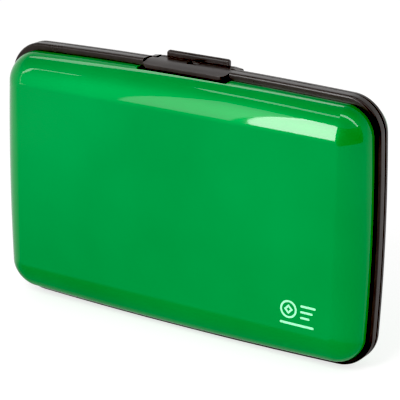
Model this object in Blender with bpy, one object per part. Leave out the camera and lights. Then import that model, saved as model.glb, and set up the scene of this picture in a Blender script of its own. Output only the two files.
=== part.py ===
"""Accordion card holder: two dished aluminium shells on hinged plastic frames, closed by a lever latch.

The case stands on its hinge edge. +X is to the right seen from the front, +Y runs from front to back and
+Z is up. The origin is on the ground under the middle of the case. All sizes are in metres.
"""
import math

import bmesh
import bpy
from mathutils import Matrix, Vector

# The case as a whole
CASE_WIDTH = 0.110
CASE_HEIGHT = 0.070
CASE_DEPTH = 0.020
CORNER_RADIUS = 0.0088
LEAST_RADIUS = 0.0005
SIDE_BOW = 0.0011
TOP_BOW = 0.00105
FOOT_FLAT = 0.00015
FIT_GAP = 0.0003
OVERRUN = 0.002

# Stamped shells
SHEET = 0.0007
RIM_SIDE_INSET = 0.0014
RIM_TOP_INSET = 0.00185
RIM_BOTTOM_INSET = 0.00145
RIM_CORNER_RADIUS = 0.0072
RIM_STRAIGHT = 0.0003
SIDE_BORDER = 0.00645
TOP_BORDER = 0.0085
FLAT_CORNER_RADIUS = 0.0012
CREASE_DEG = 11.0
NOTCH_Y = 0.0047
NOTCH_DROP = 0.0032

# Moulded frames
PARTING_Y = 0.0003
FRONT_LEDGE = 0.0023
REAR_LEDGE = 0.00195
OPENING_INSET = 0.0045
SKIRT_WALL = 0.0011
SKIRT_REACH = 0.0025
EDGE_BREAK = 0.00025
EDGE_ROUND = 0.00065

# Lid hinge
HINGE_AXIS_Z = 0.0015
OPENING_DEG = 63.0
GROOVE_SPARE_DEG = 1.0
FRONT_GROOVE_DEG = 38.0
KNUCKLE_RADIUS = 0.0013
KNUCKLE_LENGTH = 0.004
HINGE_SPREAD = 0.030
HINGE_PIN_RADIUS = 0.0005
PIN_GAP = 0.0001

# Lever latch
LATCH_WIDTH = 0.0246
LATCH_AXIS_Y = 0.0033
LATCH_AXIS_DROP = 0.0010
LATCH_TOP_DROP = 0.00025
LATCH_NOSE_DROP = 0.0010
LATCH_BEND_Y = -0.0007
LATCH_PLATE = 0.00105
LATCH_CORNER = 0.0016
LIP_DROP = 0.00245
LIP_THICKNESS = 0.0014
TAB_WIDTH = 0.0182
TAB_FRONT_Y = 0.00315
TAB_THICKNESS = 0.0013
TAB_RISE = 0.0015
TAB_CORNER = 0.0006
LATCH_PIN_RADIUS = 0.00045
BARREL_WALL = 0.0004
EAR_SPREAD = 0.01295
EAR_WIDTH = 0.0019
EAR_RADIUS = 0.0010
EAR_TAPER = 0.75

# Catch on the front frame, under the lever's window
WINDOW_WIDTH = 0.0026
WINDOW_FRONT_Y = 0.0001
WINDOW_BACK_Y = 0.0027
CATCH_LENGTH = 0.0012
CATCH_DROP = 0.0005
TONGUE_THICKNESS = 0.0010

# Accordion of card pockets
POCKET_COUNT = 7
ACCORDION_INSET = 0.0065
END_PANEL_THICKNESS = 0.0005
DIVIDER_THICKNESS = 0.0004
GUSSET_FILM = 0.00020
GUSSET_SETBACK = 0.0003
GUSSET_LOW = 0.0015
GUSSET_HIGH = 0.0054
TAPE_THICKNESS = 0.0010
TAPE_WIDTH = 0.070
TAPE_HEIGHT = 0.040

# How finely the round parts are drawn
CORNER_STEPS = 8
LONG_STEPS = 8
SHORT_STEPS = 6
BORDER_STEPS = 9
EDGE_STEPS = 3
ROUND_STEPS = 20
ARC_STEPS = 5

# Places that follow from the sizes
CASE_MIDDLE_Z = CASE_HEIGHT / 2 - FOOT_FLAT
CASE_TOP_Z = CASE_HEIGHT - FOOT_FLAT
SKIRT_OUTER_INSET = OPENING_INSET - SKIRT_WALL
RIM_DROP = (RIM_TOP_INSET - RIM_BOTTOM_INSET) / 2
REAR_GROOVE_DEG = OPENING_DEG + GROOVE_SPARE_DEG - FRONT_GROOVE_DEG
KNUCKLE_STEP = KNUCKLE_LENGTH + FIT_GAP
LATCH_AXIS_Z = CASE_TOP_Z - LATCH_AXIS_DROP
RECESS_DROP = LATCH_TOP_DROP + LATCH_PLATE + FIT_GAP
LIP_BACK_Y = -FRONT_LEDGE - FIT_GAP
LIP_FRONT_Y = LIP_BACK_Y - LIP_THICKNESS
EAR_ROOT_Y = REAR_LEDGE - 2 * EDGE_BREAK
BARREL_LENGTH = 2 * (EAR_SPREAD - EAR_WIDTH - FIT_GAP)
LATCH_BORE_RADIUS = LATCH_PIN_RADIUS + PIN_GAP
HINGE_BORE_RADIUS = HINGE_PIN_RADIUS + PIN_GAP
PANEL_FACE_Y = CASE_DEPTH / 2 - SHEET - FIT_GAP - TAPE_THICKNESS - FIT_GAP
FAN_DEPTH = 2 * (PANEL_FACE_Y - END_PANEL_THICKNESS)
POCKET_GAP = (FAN_DEPTH - (POCKET_COUNT - 1) * DIVIDER_THICKNESS) / POCKET_COUNT
POCKET_PITCH = POCKET_GAP + DIVIDER_THICKNESS

# Colours, roughness and metallic value of each material
FINISHES = {
    "green_lacquer": ((0.0, 0.345, 0.058), 0.12, 0.0),
    "black_abs": ((0.017, 0.014, 0.013), 0.38, 0.0),
    "steel": ((0.60, 0.60, 0.61), 0.25, 1.0),
    "smoke_polypropylene": ((0.035, 0.036, 0.040), 0.45, 0.0),
    "gusset_film": ((0.042, 0.043, 0.048), 0.35, 0.0),
    "foam_tape": ((0.75, 0.74, 0.70), 0.80, 0.0),
}


def clear_scene():
    """Removes every object that the file opened with."""
    for obj in list(bpy.data.objects):
        bpy.data.objects.remove(obj)


def material(finish):
    """The Principled material of one finish, made once."""
    found = bpy.data.materials.get(finish)
    if found:
        return found
    colour, roughness, metallic = FINISHES[finish]
    made = bpy.data.materials.new(finish)
    made.use_nodes = True
    shader = made.node_tree.nodes["Principled BSDF"]
    shader.inputs["Base Color"].default_value = (*colour, 1.0)
    shader.inputs["Roughness"].default_value = roughness
    shader.inputs["Metallic"].default_value = metallic
    return made


def new_object(name, mesh_data, finish=None):
    """Links a new object that holds the finished bmesh."""
    mesh = bpy.data.meshes.new(name)
    mesh_data.to_mesh(mesh)
    mesh_data.free()
    obj = bpy.data.objects.new(name, mesh)
    bpy.context.scene.collection.objects.link(obj)
    if finish:
        mesh.materials.append(material(finish))
        mesh.shade_smooth()
        mesh.set_sharp_from_angle(angle=math.radians(35))
    return obj


def guide(name, mesh_data):
    """A tool shape, such as a cutter, which isn't part of the case."""
    obj = new_object(name, mesh_data)
    obj.hide_render = True
    obj.display_type = "WIRE"
    return obj


def boolean(obj, tool, operation):
    """Cuts, joins or intersects an object with a tool shape."""
    modifier = obj.modifiers.new(tool.name, "BOOLEAN")
    modifier.operation = operation
    modifier.solver = "EXACT"
    modifier.object = tool


def pivot(name, place, parent=None):
    """An empty on a joint's axis, which carries the pieces that turn about it."""
    empty = bpy.data.objects.new(name, None)
    bpy.context.scene.collection.objects.link(empty)
    empty.empty_display_size = CORNER_RADIUS
    empty.location = place
    if parent:
        empty.parent = parent
        empty.location = Vector(place) - world_place(parent)
    return empty


def world_place(empty):
    """Where an unturned empty stands in the world."""
    place = Vector(empty.location)
    while empty.parent:
        empty = empty.parent
        place += Vector(empty.location)
    return place


def carry(obj, empty):
    """Gives a piece its joint's axis as its origin, without moving it."""
    obj.data.transform(Matrix.Translation(-world_place(empty)))
    obj.parent = empty


# Outlines and profiles


def rounded(half_width, half_height, radius, side_bow=0, top_bow=0):
    """Points (x, z) of a rectangle with round corners and bowed sides, anticlockwise seen from the front."""
    run_x = half_width - radius
    run_z = half_height - radius
    square = []
    for quarter, (side_x, side_z) in enumerate(((1, 1), (-1, 1), (-1, -1), (1, -1))):
        for step in range(CORNER_STEPS + 1):
            angle = math.radians(90 * (quarter + step / CORNER_STEPS))
            corner_x = side_x * run_x + radius * math.cos(angle)
            corner_z = side_z * run_z + radius * math.sin(angle)
            square.append((corner_x, corner_z))
        steps = SHORT_STEPS if quarter % 2 else LONG_STEPS
        for step in range(1, steps):
            share = 1 - 2 * step / steps
            if quarter % 2:
                square.append((side_x * half_width, side_z * run_z * share))
            else:
                square.append((side_x * run_x * share, side_z * half_height))
    bowed = []
    for x, z in square:
        bowed_x = x * (1 - side_bow / half_width * (z / half_height) ** 2)
        bowed_z = z * (1 - top_bow / half_height * (x / half_width) ** 2)
        bowed.append((bowed_x, CASE_MIDDLE_Z + bowed_z))
    return bowed


def outline(inset):
    """The case's outline drawn in by an inset."""
    radius = max(CORNER_RADIUS - inset, LEAST_RADIUS)
    return rounded(CASE_WIDTH / 2 - inset, CASE_HEIGHT / 2 - inset, radius, SIDE_BOW, TOP_BOW)


def ring_points(inset, y):
    """The outline at an inset, as points at one depth."""
    return [Vector((x, y, z)) for x, z in outline(inset)]


def arc(centre, radius, first_deg, last_deg, steps=ARC_STEPS):
    """Points of an arc in a plane, anticlockwise from the first angle to the last."""
    points = []
    for step in range(steps + 1):
        angle = math.radians(first_deg + (last_deg - first_deg) * step / steps)
        points.append((centre[0] + radius * math.cos(angle), centre[1] + radius * math.sin(angle)))
    return points


# Solids


def first_ring(bm, points):
    """A closed ring of edges through the points."""
    ring = [bm.verts.new(point) for point in points]
    for index, vert in enumerate(ring):
        bm.edges.new((ring[index - 1], vert))
    return ring


def ring_edges(bm, ring):
    """The edges that join a ring's vertices in turn."""
    return [bm.edges.get((ring[index - 1], vert)) for index, vert in enumerate(ring)]


def extrude_ring(bm, ring, points):
    """Extrudes a ring of vertices, puts the new ring at the points and returns it."""
    grown = bmesh.ops.extrude_edge_only(bm, edges=ring_edges(bm, ring))["geom"]
    fresh = {part for part in grown if isinstance(part, bmesh.types.BMVert)}
    moved = []
    for vert, point in zip(ring, points):
        partner = next(edge.other_vert(vert) for edge in vert.link_edges if edge.other_vert(vert) in fresh)
        partner.co = point
        moved.append(partner)
    return moved


def swept_ring(profile):
    """A closed ring of one section, given as (inset, y) points, carried round the case's outline."""
    bm = bmesh.new()
    start = first_ring(bm, ring_points(*profile[0]))
    ring = start
    for inset, y in profile[1:]:
        ring = extrude_ring(bm, ring, ring_points(inset, y))
    bmesh.ops.bridge_loops(bm, edges=ring_edges(bm, start) + ring_edges(bm, ring))
    bmesh.ops.recalc_face_normals(bm, faces=bm.faces)
    return bm


def prism(points, low, high, axis):
    """A closed solid: an outline in the plane across an axis, extruded along it from low to high.

    The points are (y, z) for axis X, (x, z) for axis Y and (x, y) for axis Z.
    """
    order = {"X": (2, 0, 1), "Y": (0, 2, 1), "Z": (0, 1, 2)}[axis]
    bm = bmesh.new()
    corners = []
    for point in points:
        place = (*point, low)
        corners.append(bm.verts.new([place[index] for index in order]))
    face = bm.faces.new(corners)
    grown = bmesh.ops.extrude_face_region(bm, geom=[face])["geom"]
    travel = Vector([(0, 0, high - low)[index] for index in order])
    verts = [part for part in grown if isinstance(part, bmesh.types.BMVert)]
    bmesh.ops.translate(bm, verts=verts, vec=travel)
    bmesh.ops.recalc_face_normals(bm, faces=bm.faces)
    return bm


def block(low, high):
    """A box between two corners."""
    corners = [(low[0], low[1]), (high[0], low[1]), (high[0], high[1]), (low[0], high[1])]
    return prism(corners, low[2], high[2], "Z")


def rod(radius, middle_x, length, y, z):
    """A round bar along X."""
    circle = arc((y, z), radius, 0, 360, ROUND_STEPS)[:-1]
    return prism(circle, middle_x - length / 2, middle_x + length / 2, "X")


# Shells


def shell_rings(side):
    """The rings of a shell's outer face: an elliptical border between its rim and the crease of its flat."""
    rim_y = (FRONT_LEDGE if side < 0 else REAR_LEDGE) + FIT_GAP
    border_y = rim_y + RIM_STRAIGHT
    half_width = CASE_WIDTH / 2 - RIM_SIDE_INSET
    half_height = (CASE_HEIGHT - RIM_TOP_INSET - RIM_BOTTOM_INSET) / 2
    rim = rounded(half_width, half_height, RIM_CORNER_RADIUS, SIDE_BOW, TOP_BOW)
    flat = rounded(half_width - SIDE_BORDER, half_height - TOP_BORDER, FLAT_CORNER_RADIUS)
    first = math.radians(CREASE_DEG)
    rings = [[Vector((x, side * rim_y, z - RIM_DROP)) for x, z in rim]]
    for step in range(BORDER_STEPS + 1):
        angle = math.pi / 2 - (math.pi / 2 - first) * step / BORDER_STEPS
        share = (math.sin(angle) - math.sin(first)) / (1 - math.sin(first))
        y = border_y + (CASE_DEPTH / 2 - border_y) * math.cos(angle) / math.cos(first)
        ring = []
        for (rim_x, rim_z), (flat_x, flat_z) in zip(rim, flat):
            place_x = flat_x + (rim_x - flat_x) * share
            place_z = flat_z + (rim_z - flat_z) * share
            ring.append(Vector((place_x, side * y, place_z - RIM_DROP)))
        rings.append(ring)
    return rings


def shell(name, side):
    """A dished cover stamped from sheet, with a notch for the latch: side -1 is in front, 1 at the rear."""
    bm = bmesh.new()
    rings = shell_rings(side)
    ring = first_ring(bm, rings[0])
    for points in rings[1:]:
        ring = extrude_ring(bm, ring, points)
    face = bm.faces.new(ring)
    bmesh.ops.recalc_face_normals(bm, faces=bm.faces)
    face.normal_update()
    if face.normal.y * side < 0:
        bmesh.ops.reverse_faces(bm, faces=bm.faces)
    obj = new_object(name, bm, "green_lacquer")
    wall = obj.modifiers.new("sheet", "SOLIDIFY")
    wall.thickness = SHEET
    wall.offset = -1
    wall.use_even_offset = True
    half = EAR_SPREAD + FIT_GAP
    low = (-half, min(0, side * NOTCH_Y), CASE_TOP_Z - NOTCH_DROP)
    high = (half, max(0, side * NOTCH_Y), CASE_TOP_Z)
    boolean(obj, guide(name + "_notch", block(low, high)), "DIFFERENCE")
    return obj


# Frames


def frame_section(side):
    """The (inset, y) section of a frame: a band with a ledge for the shell's rim, and a skirt inside it."""
    parting = PARTING_Y + side * FIT_GAP / 2
    ledge = side * (FRONT_LEDGE if side < 0 else REAR_LEDGE)
    skirt = ledge + side * SKIRT_REACH
    section = [
        (EDGE_ROUND, ledge),
        (SKIRT_OUTER_INSET, ledge),
        (SKIRT_OUTER_INSET, skirt),
        (OPENING_INSET, skirt),
        (OPENING_INSET, parting),
        (EDGE_BREAK / 2, parting),
        (0, parting + side * EDGE_BREAK / 2),
    ]
    for inward, along in arc((EDGE_ROUND, EDGE_ROUND), EDGE_ROUND, 180, 270, EDGE_STEPS)[:-1]:
        section.append((inward, ledge - side * along))
    return section


def groove_cutter(name, side, angle_deg):
    """Takes away the wedge under the hinge axis that the two frames need to swing open."""
    face = PARTING_Y + side * FIT_GAP / 2
    low = -OVERRUN
    reach = side * (HINGE_AXIS_Z - low) * math.tan(math.radians(angle_deg))
    back = face - side * OVERRUN
    points = [(face, HINGE_AXIS_Z), (back, HINGE_AXIS_Z), (back, low), (face + reach, low)]
    return guide(name, prism(points, -CASE_WIDTH / 2, CASE_WIDTH / 2, "X"))


def hinge_bar(radius, middle_x, length):
    """A round bar on the lid hinge's axis."""
    return rod(radius, middle_x, length, PARTING_Y, HINGE_AXIS_Z)


def frame(name, side):
    """One of the two frames, with its V groove, knuckles and flat foot."""
    obj = new_object(name, swept_ring(frame_section(side)), "black_abs")
    angle = FRONT_GROOVE_DEG if side < 0 else REAR_GROOVE_DEG
    boolean(obj, groove_cutter(name + "_groove", side, angle), "DIFFERENCE")
    foot = block((-CASE_WIDTH / 2, -CASE_DEPTH / 2, -OVERRUN), (CASE_WIDTH / 2, CASE_DEPTH / 2, 0))
    boolean(obj, guide(name + "_foot_cut", foot), "DIFFERENCE")
    for hand, station in (("left", -HINGE_SPREAD), ("right", HINGE_SPREAD)):
        own = (0,) if side < 0 else (-1, 1)
        other = (-1, 1) if side < 0 else (0,)
        for place in other:
            middle_x = station + place * KNUCKLE_STEP
            relief = hinge_bar(KNUCKLE_RADIUS + FIT_GAP, middle_x, KNUCKLE_LENGTH + 2 * FIT_GAP)
            boolean(obj, guide(f"{name}_relief_{hand}_{place}", relief), "DIFFERENCE")
        for place in own:
            knuckle = hinge_bar(KNUCKLE_RADIUS, station + place * KNUCKLE_STEP, KNUCKLE_LENGTH)
            boolean(obj, guide(f"{name}_knuckle_{hand}_{place}", knuckle), "UNION")
        bore = hinge_bar(HINGE_BORE_RADIUS, station, 3 * KNUCKLE_STEP + OVERRUN)
        boolean(obj, guide(f"{name}_bore_{hand}", bore), "DIFFERENCE")
    return obj


def latch_recess(obj):
    """Cuts the shallow seat that the lever lies in."""
    half = LATCH_WIDTH / 2 + FIT_GAP
    floor = CASE_TOP_Z - RECESS_DROP
    cut = block((-half, -CASE_DEPTH / 2, floor), (half, CASE_DEPTH / 2, CASE_TOP_Z + OVERRUN))
    boolean(obj, guide(obj.name + "_recess", cut), "DIFFERENCE")


def catch(front_frame):
    """The tongue that reaches back under the lever, and the ramped catch that stands in its window."""
    half = WINDOW_WIDTH / 2 - FIT_GAP
    floor = CASE_TOP_Z - RECESS_DROP
    front = WINDOW_FRONT_Y + FIT_GAP
    back = front + CATCH_LENGTH
    top = CASE_TOP_Z - CATCH_DROP
    ramp = back - CATCH_LENGTH / 2
    profile = [
        (PARTING_Y - FIT_GAP - TONGUE_THICKNESS, floor - TONGUE_THICKNESS),
        (back, floor - TONGUE_THICKNESS),
        (back, floor),
        (ramp, top),
        (front, top),
        (front, floor),
        (PARTING_Y - FIT_GAP - TONGUE_THICKNESS, floor),
    ]
    boolean(front_frame, guide("catch_tongue", prism(profile, -half, half, "X")), "UNION")


def catch_notch(rear_frame):
    """The way through the rear frame's band for the front frame's tongue."""
    half = WINDOW_WIDTH / 2
    low = CASE_TOP_Z - RECESS_DROP - TONGUE_THICKNESS - FIT_GAP
    cut = block((-half, -OVERRUN, low), (half, CASE_DEPTH / 2, CASE_TOP_Z))
    boolean(rear_frame, guide("catch_notch", cut), "DIFFERENCE")


def latch_ears(rear_frame):
    """The two ears behind the rear frame's band that hold the latch pin."""
    profile = arc((LATCH_AXIS_Y, LATCH_AXIS_Z), EAR_RADIUS, -90, 90, ROUND_STEPS // 2)
    profile += [(EAR_ROOT_Y, LATCH_AXIS_Z + EAR_RADIUS), (EAR_ROOT_Y, LATCH_AXIS_Z - EAR_RADIUS)]
    for hand, side in (("left", -1), ("right", 1)):
        low = min(side * EAR_SPREAD, side * (EAR_SPREAD - EAR_WIDTH))
        ear = prism(profile, low, low + EAR_WIDTH, "X")
        for vert in ear.verts:
            if abs(vert.co.x) > EAR_SPREAD - EAR_WIDTH / 2 and vert.co.z > LATCH_AXIS_Z:
                vert.co.z = LATCH_AXIS_Z + (vert.co.z - LATCH_AXIS_Z) * EAR_TAPER
        boolean(rear_frame, guide("latch_ear_" + hand, ear), "UNION")
    bore = rod(LATCH_BORE_RADIUS, 0, 2 * EAR_SPREAD + OVERRUN, LATCH_AXIS_Y, LATCH_AXIS_Z)
    boolean(rear_frame, guide("latch_ear_bore", bore), "DIFFERENCE")


# Latch


def latch_lever():
    """The lever: a plate whose lip hooks over the front frame, a finger tab, and a barrel on the pin."""
    top = CASE_TOP_Z - LATCH_TOP_DROP
    under = top - LATCH_PLATE
    nose = CASE_TOP_Z - LATCH_NOSE_DROP
    lip = CASE_TOP_Z - LIP_DROP
    plate_back = TAB_FRONT_Y + TAB_THICKNESS
    half = LATCH_WIDTH / 2
    profile = [
        (plate_back, top),
        (LATCH_BEND_Y, top),
        (LIP_FRONT_Y + EDGE_BREAK, nose),
        (LIP_FRONT_Y, nose - EDGE_BREAK),
        (LIP_FRONT_Y, lip + EDGE_BREAK),
        (LIP_FRONT_Y + EDGE_BREAK, lip),
        (LIP_BACK_Y, lip),
        (LIP_BACK_Y, under),
        (plate_back - EDGE_BREAK, under),
        (plate_back, under + EDGE_BREAK),
    ]
    obj = new_object("latch_lever", prism(profile, -half, half, "X"), "black_abs")
    plan = arc((half - LATCH_CORNER, LIP_FRONT_Y + LATCH_CORNER), LATCH_CORNER, -90, 0)
    step = EAR_ROOT_Y - FIT_GAP
    rear_half = BARREL_LENGTH / 2
    plan += [(half, step), (rear_half, step), (rear_half, plate_back)]
    plan += [(-rear_half, plate_back), (-rear_half, step), (-half, step)]
    plan += arc((-half + LATCH_CORNER, LIP_FRONT_Y + LATCH_CORNER), LATCH_CORNER, 180, 270)
    plan_guide = guide("lever_plan", prism(plan, lip - OVERRUN, top + OVERRUN, "Z"))
    boolean(obj, plan_guide, "INTERSECT")
    barrel = rod(LATCH_BORE_RADIUS + BARREL_WALL, 0, BARREL_LENGTH, LATCH_AXIS_Y, LATCH_AXIS_Z)
    boolean(obj, guide("lever_barrel", barrel), "UNION")
    tab_half = TAB_WIDTH / 2
    tab_top = CASE_TOP_Z + TAB_RISE
    front = arc((tab_half - TAB_CORNER, tab_top - TAB_CORNER), TAB_CORNER, 0, 90)
    front += arc((-tab_half + TAB_CORNER, tab_top - TAB_CORNER), TAB_CORNER, 90, 180)
    front += [(-tab_half, top - LATCH_PLATE / 2), (tab_half, top - LATCH_PLATE / 2)]
    tab = prism(front, TAB_FRONT_Y, plate_back, "Y")
    boolean(obj, guide("lever_tab", tab), "UNION")
    window_low = (-WINDOW_WIDTH / 2, WINDOW_FRONT_Y, lip)
    window_high = (WINDOW_WIDTH / 2, WINDOW_BACK_Y, top + OVERRUN)
    boolean(obj, guide("lever_window", block(window_low, window_high)), "DIFFERENCE")
    bore = rod(LATCH_BORE_RADIUS, 0, LATCH_WIDTH + OVERRUN, LATCH_AXIS_Y, LATCH_AXIS_Z)
    boolean(obj, guide("lever_bore", bore), "DIFFERENCE")
    return obj


def pins():
    """The latch's pin and one pin for each hinge station."""
    new_object("latch_pin", rod(LATCH_PIN_RADIUS, 0, 2 * EAR_SPREAD, LATCH_AXIS_Y, LATCH_AXIS_Z), "steel")
    for hand, station in (("left", -HINGE_SPREAD), ("right", HINGE_SPREAD)):
        bar = hinge_bar(HINGE_PIN_RADIUS, station, 2 * KNUCKLE_STEP + KNUCKLE_LENGTH)
        new_object("hinge_pin_" + hand, bar, "steel")


# Accordion


def panel(name, middle_y, thickness):
    """A flat sheet of the accordion, with the case's outline drawn in."""
    bm = prism(outline(ACCORDION_INSET), middle_y - thickness / 2, middle_y + thickness / 2, "Y")
    return new_object(name, bm, "smoke_polypropylene")


def gusset(name, middle_y):
    """The film that joins two sheets at the sides and bottom, folded inwards to a V, deepest at the top."""
    reach = POCKET_GAP / 2 - FIT_GAP
    outer = outline(ACCORDION_INSET + GUSSET_SETBACK)
    inner = outline(ACCORDION_INSET + 2 * GUSSET_SETBACK)
    start = 2 * CORNER_STEPS + LONG_STEPS
    bottom = min(z for _, z in outer)
    height = outer[0][1] - bottom
    bm = bmesh.new()
    ring = None
    for (x, z), (near_x, near_z) in zip(outer[start:] + outer[:1], inner[start:] + inner[:1]):
        inward = Vector((near_x - x, 0, near_z - z)).normalized()
        leg = GUSSET_LOW + (GUSSET_HIGH - GUSSET_LOW) * (z - bottom) / height
        slant = math.hypot(leg, reach)
        tip = GUSSET_FILM * slant / leg
        fold = GUSSET_FILM * slant / reach
        section = [(0, reach), (leg, 0), (0, -reach), (0, tip - reach), (leg - fold, 0), (0, reach - tip)]
        points = [Vector((x, middle_y + across, z)) + inward * along for along, across in section]
        if ring is None:
            ring = first_ring(bm, points)
            bm.faces.new(ring)
        else:
            ring = extrude_ring(bm, ring, points)
    bm.faces.new(ring)
    bmesh.ops.recalc_face_normals(bm, faces=bm.faces)
    return new_object(name, bm, "gusset_film")


def tape(name, side):
    """A strip of foam tape that holds an end panel to its shell."""
    near = side * (PANEL_FACE_Y + FIT_GAP)
    far = near + side * TAPE_THICKNESS
    middle = CASE_MIDDLE_Z
    low = (-TAPE_WIDTH / 2, min(near, far), middle - TAPE_HEIGHT / 2)
    high = (TAPE_WIDTH / 2, max(near, far), middle + TAPE_HEIGHT / 2)
    return new_object(name, block(low, high), "foam_tape")


def accordion(hinge_place):
    """The end panels, dividers and gussets, chained from the rear half to the front on the hinge axis."""
    panel_middle = PANEL_FACE_Y - END_PANEL_THICKNESS / 2
    panel("rear_end_panel", panel_middle, END_PANEL_THICKNESS)
    parent = None
    for count in range(1, POCKET_COUNT + 1):
        middle_y = FAN_DEPTH / 2 - (count - 1) * POCKET_PITCH - POCKET_GAP / 2
        fold = gusset(f"pocket_gusset_{count}", middle_y)
        if parent:
            carry(fold, parent)
        if count < POCKET_COUNT:
            parent = pivot(f"divider_{count}_axis", hinge_place, parent)
            divider_y = middle_y - POCKET_GAP / 2 - DIVIDER_THICKNESS / 2
            carry(panel(f"divider_{count}", divider_y, DIVIDER_THICKNESS), parent)
    parent = pivot("front_end_panel_axis", hinge_place, parent)
    carry(panel("front_end_panel", -panel_middle, END_PANEL_THICKNESS), parent)


def build():
    """Models the whole case, closed."""
    clear_scene()
    hinge_place = Vector((0, PARTING_Y, HINGE_AXIS_Z))
    lid = pivot("lid_axis", hinge_place)
    latch = pivot("latch_axis", Vector((0, LATCH_AXIS_Y, LATCH_AXIS_Z)))
    shell("rear_shell", 1)
    carry(shell("front_shell", -1), lid)
    rear_frame = frame("rear_frame", 1)
    latch_recess(rear_frame)
    catch_notch(rear_frame)
    latch_ears(rear_frame)
    front_frame = frame("front_frame", -1)
    latch_recess(front_frame)
    catch(front_frame)
    carry(front_frame, lid)
    carry(latch_lever(), latch)
    pins()
    tape("rear_tape", 1)
    carry(tape("front_tape", -1), lid)
    accordion(hinge_place)


build()
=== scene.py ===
"""Accordion card holder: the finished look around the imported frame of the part.

The case stands on its hinge edge. +X is to the right seen from the front, +Y runs from front to back and
+Z is up. All sizes are in metres unless a name says otherwise.
"""
from __future__ import annotations

import logging
import math
from dataclasses import dataclass
from enum import Enum
from typing import Any, Callable

import bmesh
import bpy
from mathutils import Matrix, Vector


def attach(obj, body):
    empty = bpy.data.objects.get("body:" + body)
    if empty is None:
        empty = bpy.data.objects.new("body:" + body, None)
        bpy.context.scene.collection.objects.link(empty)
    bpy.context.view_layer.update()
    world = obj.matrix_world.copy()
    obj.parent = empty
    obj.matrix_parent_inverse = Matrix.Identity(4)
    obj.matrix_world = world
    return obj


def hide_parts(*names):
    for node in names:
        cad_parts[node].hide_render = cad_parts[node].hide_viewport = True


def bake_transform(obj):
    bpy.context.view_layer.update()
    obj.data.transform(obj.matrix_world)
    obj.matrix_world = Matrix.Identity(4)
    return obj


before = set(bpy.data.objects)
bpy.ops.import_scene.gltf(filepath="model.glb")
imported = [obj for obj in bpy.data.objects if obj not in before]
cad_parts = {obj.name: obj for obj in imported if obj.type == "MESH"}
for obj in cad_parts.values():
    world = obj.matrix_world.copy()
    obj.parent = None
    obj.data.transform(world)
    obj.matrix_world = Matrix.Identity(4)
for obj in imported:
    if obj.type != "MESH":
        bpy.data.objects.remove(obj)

LOG = logging.getLogger("card_holder")
Piece = bpy.types.Object
Tree = bpy.types.NodeTree
Node = bpy.types.Node
Socket = bpy.types.NodeSocket

# Two places closer than TOUCH are the same. A face looks along an axis where its normal's share of it is
# over FACING, and aside where it is under ASIDE. UPRIGHT turns a flat primitive to face the front.
TOUCH = 1e-6
FACING = 0.9
ASIDE = 0.1
UPRIGHT = (math.pi / 2, 0, 0)


# Shared sizes


@dataclass(frozen=True)
class Case:
    """The sizes that every sub-assembly of the case shares."""

    width: float = 0.110
    height: float = 0.070
    depth: float = 0.020
    corner_radius: float = 0.0088
    side_bow: float = 0.0011
    top_bow: float = 0.00105
    foot_flat: float = 0.00015
    fit_gap: float = 0.0003
    parting_y: float = 0.0003
    front_ledge: float = 0.0023
    rear_ledge: float = 0.00195
    sheet: float = 0.0007
    ink_film: float = 0.00002
    hinge_axis_z: float = 0.0015
    wire_break: float = 0.0001
    overrun: float = 0.002

    @property
    def middle_z(self) -> float:
        """Height of the middle of the frames."""
        return self.height / 2 - self.foot_flat

    @property
    def top_z(self) -> float:
        """Height of the frames' top edge."""
        return self.height - self.foot_flat

    @property
    def middle(self) -> Vector:
        """The middle of the case."""
        return Vector((0, 0, self.middle_z))

    def on_hinge(self, x: float) -> Vector:
        """A point on the lid hinge's axis."""
        return Vector((x, self.parting_y, self.hinge_axis_z))


CASE = Case()


@dataclass(frozen=True)
class Plan:
    """A rectangle with round corners and slightly bowed sides, seen from the front."""

    half_width: float
    half_height: float
    radius: float
    side_bow: float = CASE.side_bow
    top_bow: float = CASE.top_bow

    @classmethod
    def drawn_in(cls, inset: float) -> Plan:
        """The case's outline, drawn in by an inset."""
        return cls(CASE.width / 2 - inset, CASE.height / 2 - inset, CASE.corner_radius - inset)

    def bowed(self, x: float, z: float) -> tuple[float, float]:
        """Where a point of the straight-sided outline goes when the sides are bowed."""
        across = x * (1 - self.side_bow / self.half_width * (z / self.half_height) ** 2)
        upward = z * (1 - self.top_bow / self.half_height * (x / self.half_width) ** 2)
        return across, upward


class Side(Enum):
    """Which half of the case a piece belongs to. The value is the half's direction along Y."""

    FRONT = -1
    REAR = 1

    @property
    def word(self) -> str:
        """The half's name, as the nodes spell it."""
        return self.name.lower()

    @property
    def body(self) -> str:
        """The CAD body that carries the half."""
        return self.word + "_half"

    @property
    def ledge(self) -> float:
        """Depth of the frame's band on this half."""
        return CASE.front_ledge if self is Side.FRONT else CASE.rear_ledge

    @property
    def parting(self) -> float:
        """Where the frame's parting face stands along Y."""
        return CASE.parting_y + self.value * CASE.fit_gap / 2


class Part(Enum):
    """The kinds of mesh element that can be picked in edit mode."""

    VERT = "verts"
    EDGE = "edges"
    FACE = "faces"


class Cut(Enum):
    """What a tool shape does to the piece it is applied to."""

    AWAY = "DIFFERENCE"
    JOIN = "UNION"
    KEEP = "INTERSECT"


# Modelling by hand, in code


def stand_back() -> None:
    """Leaves edit mode and deselects every object."""
    if bpy.context.mode != "OBJECT":
        bpy.ops.object.mode_set(mode="OBJECT")
    bpy.ops.object.select_all(action="DESELECT")


def take(obj: Piece) -> None:
    """Makes one object the only selected and active one, in object mode."""
    stand_back()
    obj.select_set(True)
    bpy.context.view_layer.objects.active = obj


def edit(obj: Piece) -> None:
    """Opens one object in edit mode with nothing selected."""
    take(obj)
    bpy.ops.object.mode_set(mode="EDIT")
    bpy.ops.mesh.select_all(action="DESELECT")


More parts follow.
